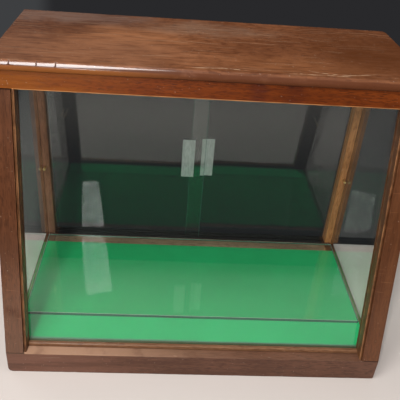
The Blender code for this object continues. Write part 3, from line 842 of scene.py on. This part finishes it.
# the shelf's upper arris is ground glass, painted pale: a ground arris, and also a painted highlight along
# the shelf's edges
shelfArrisHighlight = groundGlass("shelf_glass_arris_highlight", groundLook)

for paneName in ("front_glass", "left_glass", "right_glass"):
    frame["nodes"][paneName].material_slots[0].material = paneGlass


def paint(piece, test, index):
    choose(piece, "FACE", test)
    piece.active_material_index = index
    bpy.ops.object.material_slot_assign()
    stopEditing()


doorLook = dict(
    gripWide=0.0245, gripHigh=0.082, gripLow=0.193, gripEdge=0.021, gripDeep=0.0008, gripRim=0.001,
    arris=0.0005, arrisSteps=2)


def slidingDoor(side, sign, look):
    low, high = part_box(side + "_door")
    piece = addBlock(side + "_door_pane", low, high)
    dress(piece, [doorGlass, gripGlass, doorEdge])
    lead = high.x if sign < 0 else low.x  # the edge in the middle of the cabinet
    near, far = sorted((lead + sign * look["gripEdge"], lead + sign * (look["gripEdge"] + look["gripWide"])))
    bottom, top = look["gripLow"], look["gripLow"] + look["gripHigh"]
    rim = look["gripRim"]
    cutAt(piece, [crossCut(axis, at) for axis, at in ((0, near), (0, far), (2, bottom), (2, top))])

    def onGrip(face):
        at = middle(face)
        return face.normal.y > facing and near < at.x < far and bottom < at.z < top

    def besideGrip(at):
        return near - rim < at.x < far + rim

    def aroundGrip(at):
        return besideGrip(at) and bottom - rim < at.z < top + rim

    choose(piece, "FACE", onGrip)
    bpy.ops.mesh.extrude_region_move(TRANSFORM_OT_translate={"value": (0, -look["gripDeep"], 0)})
    stopEditing()
    paint(piece, onGrip, 1)
    roundOff(piece, lambda e: isCorner(e) and not besideGrip(middle(e)), look["arris"], look["arrisSteps"])
    paint(piece, lambda face: abs(face.normal.y) < flat and not aroundGrip(middle(face)), 2)
    stand(piece, side + "_door", "door_glass", side + "_door")


for doorSide, doorSign in (("left", -1), ("right", 1)):
    slidingDoor(doorSide, doorSign, doorLook)


shelfLook = dict(arris=0.0006, arrisSteps=2, upward=0.60)


def looseShelf(look):
    low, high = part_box("glass_shelf")
    piece = addBlock("glass_shelf_pane", low, high)
    dress(piece, [shelfGlass, shelfEdge, shelfArrisHighlight])
    roundOff(piece, isCorner, look["arris"], look["arrisSteps"])
    paint(piece, lambda face: abs(face.normal.z) < flat, 1)
    paint(piece, lambda face: look["upward"] < face.normal.z < flat, 2)
    stand(piece, "glass_shelf", "shelf_glass", "glass_shelf")


looseShelf(shelfLook)
print("glass made")


# baize floor, greyer along its front edge, with a painted shade at the very front
baizeLook = dict(
    thick=0.0016, across=72, deep=34, wave=0.00022, waveSize=16, below=0.0003, edge=0.0005, edgeSteps=2,
    napSize=520.0, nap=(0.3, 0.7), dark=(0.011, 0.375, 0.116), light=(0.021, 0.525, 0.176),
    wornSize=10.0, worn=(0.35, 0.75), wornShare=0.25, wornColour=(0.020, 0.620, 0.215),
    lintSize=(150.0, 420.0, 150.0), lint=(0.68, 0.78), lintShare=0.10, lintColour=(0.25, 0.55, 0.35),
    dusty=(0.0085, 0.0045), frontBandRagged=0.004, frontBandShare=0.75, frontBandColour=(0.115, 0.195, 0.155),
    rim=(0.0022, 0.0010), rimShadeShare=0.8, rimShadeColour=(0.030, 0.045, 0.036),
    dull=0.9, napDull=0.08, relief=0.5, reliefDeep=0.0005, shine=0.15, sheen=0.15, sheenDull=0.4)


def baizeFinish(name, look, frontY):
    f = newFinish(name)
    place = f.here()
    y = f.axes(place)[1]
    nap = f.cloud(place, look["napSize"], 4.0)
    worn = f.cloud(place, look["wornSize"], 3.0)
    lint = f.band(f.cloud(place, look["lintSize"], 2.0), *look["lint"])
    colour = f.tint(f.band(nap, *look["nap"]), look["dark"], look["light"])
    colour = f.tint(f.band(worn, *look["worn"]) * look["wornShare"], colour, look["wornColour"])
    colour = f.tint(lint * look["lintShare"], colour, look["lintColour"])
    # greyer towards the front edge
    dusty = f.band(y + (worn - 0.5) * look["frontBandRagged"], *[frontY + inset for inset in look["dusty"]])
    colour = f.tint(dusty * look["frontBandShare"], colour, look["frontBandColour"])
    # a dark line painted at the very front edge: a painted shade in the gap at the foot of the glass
    rim = f.band(y, *[frontY + inset for inset in look["rim"]])
    colour = f.tint(rim * look["rimShadeShare"], colour, look["rimShadeColour"])
    dent = f.node("Bump", None, {"Strength": look["relief"], "Distance": look["reliefDeep"], "Height": nap})
    f.output(f.node("BsdfPrincipled", None, {
        "Base Color": colour, "Roughness": look["dull"] + nap * look["napDull"], "Normal": dent,
        "Specular IOR Level": look["shine"], "Sheen Weight": look["sheen"],
        "Sheen Roughness": look["sheenDull"]}))
    return f.owner


def baizeFloor(look):
    low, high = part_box("floor_lining")
    setDown()
    bpy.ops.mesh.primitive_grid_add(
        x_subdivisions=look["across"], y_subdivisions=look["deep"], size=1.0,
        location=((low.x + high.x) / 2, (low.y + high.y) / 2, high.z - look["below"]))
    piece = bpy.context.object
    piece.name = "baize_lining"
    piece.data.name = "baize_lining"
    piece.scale = (high.x - low.x, high.y - low.y, 1.0)
    bpy.ops.object.transform_apply(location=True, rotation=True, scale=True)
    for vert in piece.data.vertices:
        vert.co.z += look["wave"] * noise.noise(vert.co * look["waveSize"])
    bpy.ops.object.modifier_add(type="SOLIDIFY")
    piece.modifiers[-1].thickness = look["thick"]
    piece.modifiers[-1].offset = -1.0
    bpy.ops.object.modifier_apply(modifier=piece.modifiers[-1].name)
    roundOff(piece, isCorner, look["edge"], look["edgeSteps"])
    softShade(piece)
    dress(piece, [baizeFinish("green_baize", look, low.y)])
    stand(piece, "cabinet", "green_lining", "floor_lining")


baizeFloor(baizeLook)


# pegs and screws
metalLook = dict(spotSize=300.0, spots=(0.35, 0.7), rough=0.22, spotRough=0.25)


def metal(name, look):
    f = newFinish(name)
    spots = f.cloud(f.here(), look["spotSize"], 3.0)
    f.output(f.node("BsdfPrincipled", None, {
        "Base Color": f.tint(f.band(spots, *look["spots"]), look["clean"], look["dull"]),
        "Metallic": 1.0, "Roughness": look["rough"] + spots * look["spotRough"]}))
    return f.owner


pegBrass = metal("peg_brass", dict(metalLook, clean=(0.83, 0.62, 0.30), dull=(0.48, 0.32, 0.14)))
screwSteel = metal("screw_steel", dict(metalLook, clean=(0.62, 0.62, 0.64), dull=(0.30, 0.28, 0.26)))
for nodeName, nodeObject in frame["nodes"].items():
    if nodeName.startswith("shelf_peg"):
        nodeObject.material_slots[0].material = pegBrass
    if nodeName.startswith("top_board_screw"):
        nodeObject.material_slots[0].material = screwSteel
print("lining and fittings made")


# floor, light and camera
# the floor is painted darker towards the front: a painted shade, with a faint random cloud
stageLook = dict(
    wide=5.0, front=-0.95, back=0.215, bottom=-0.03, top=-0.0004, edge=0.004, edgeSteps=3, rough=0.8,
    colour=(0.700, 0.625, 0.577), darker=0.12, cloudSize=1.5, cloudShare=0.04,
    paintedShadeFades=[dict(y=(-0.42, -0.90), share=0.50), dict(y=(-0.70, -0.95), share=0.45)])


def paleFloor(look):
    wide = look["wide"]
    floor = addBlock("pale_floor", (-wide, look["front"], look["bottom"]), (wide, look["back"], look["top"]))
    roundOff(floor, isCorner, look["edge"], look["edgeSteps"])
    f = newFinish("pale_floor_paint")
    place = f.here()
    y = f.axes(place)[1]
    shade = f.cloud(place, look["cloudSize"], 3.0) * look["cloudShare"]
    for paintedShadeFade in look["paintedShadeFades"]:
        shade = shade + f.band(y, *paintedShadeFade["y"]) * paintedShadeFade["share"]
    dark = tuple(c * look["darker"] for c in look["colour"])
    f.output(f.node("BsdfPrincipled", None, {
        "Base Color": f.tint(shade, look["colour"], dark), "Roughness": look["rough"]}))
    dress(floor, [f.owner])


# the x, y and z limits are those of a direction, not of a place
lightLook = dict(
    sky=(0.120, 0.122, 0.126), skyZ=(0.0, 0.45), skyBackZ=(0.88, 0.62), skyBackShare=0.85,
    low=(0.022, 0.022, 0.024), under=(0.014, 0.015, 0.016), underZ=(-0.375, -0.495), behindY=(0.20, 0.70),
    aside=(0.048, 0.050, 0.053), beside=(0.135, 0.132, 0.126), asideX=(-0.180, -0.215),
    wall=(0.205, 0.190, 0.157), wallFootZ=(-0.07, 0.05), wallHeadZ=(0.60, 0.25), wallY=(0.15, -0.35),
    lamps=[dict(name="key", at=(-0.44, -1.45, 1.27), to=(0.0, 0.0, 0.25), size=(0.14, 0.62), power=19.5),
           dict(name="window", at=(-0.52, -0.58, 2.00), to=(-0.15, 0.0, 0.4), size=(0.60, 1.10), power=19.0),
           dict(name="ceiling", at=(0.60, 0.40, 2.30), to=(0.2, 0.20, 0.3), size=(2.0, 1.3), power=7.5),
           dict(name="fill", at=(1.7, -1.1, 1.5), to=(0.0, 0.0, 0.25), size=(1.4, 1.4), power=8.0),
           dict(name="rear", at=(-1.8, 1.0, 1.0), to=(0.0, 0.1, 0.25), size=(1.2, 1.2), power=8.0)])


def studio(look):
    world = bpy.data.worlds.new("studio")
    bpy.context.scene.world = world
    f = Finish(world)
    x, y, z = f.axes(f.node("TexCoord", None, None, "Generated"))
    behind = f.band(y, *look["behindY"])
    under = f.band(z, *look["underZ"])
    left = f.band(x, *look["asideX"]) * behind
    glow = f.tint(under * behind, look["low"], look["under"])
    glow = f.tint(left, glow, f.tint(under, look["aside"], look["beside"]))
    darkBack = behind * f.band(z, *look["skyBackZ"]) * look["skyBackShare"]
    glow = f.tint(f.band(z, *look["skyZ"]) * (1.0 - darkBack), glow, look["sky"])
    wall = f.band(z, *look["wallFootZ"]) * f.band(z, *look["wallHeadZ"]) * f.band(y, *look["wallY"])
    glow = f.tint(wall, glow, look["wall"])
    f.output(f.node("Background", None, {"Color": glow, "Strength": 1.0}), "OutputWorld")
    for lamp in look["lamps"]:
        setDown()
        bpy.ops.object.light_add(type="AREA", location=lamp["at"])
        light = bpy.context.object
        light.name = lamp["name"]
        light.data.shape = "RECTANGLE"
        light.data.size, light.data.size_y = lamp["size"]
        light.data.energy = lamp["power"]
        light.rotation_euler = (Vector(lamp["to"]) - Vector(lamp["at"])).to_track_quat("-Z", "Y").to_euler()


cameraLook = dict(
    at=(-0.0677, -0.8417, 0.7823), fieldOfView=38.064, nearest=0.02,
    right=(0.99699, -0.03321, 0.07016), up=(-0.04093, 0.54303, 0.83873), back=(-0.06595, -0.83907, 0.54003))


def photoCamera(look):
    setDown()
    bpy.ops.object.camera_add(location=look["at"])
    camera = bpy.context.object
    turn = Matrix((look["right"], look["up"], look["back"])).transposed()
    camera.matrix_world = Matrix.Translation(look["at"]) @ turn.to_4x4()
    camera.data.sensor_fit = "HORIZONTAL"
    camera.data.angle = math.radians(look["fieldOfView"])
    camera.data.clip_start = look["nearest"]
    bpy.context.scene.camera = camera


paleFloor(stageLook)
studio(lightLook)
photoCamera(cameraLook)
bpy.context.scene.view_settings.view_transform = "Standard"
print("floor, light and camera set")
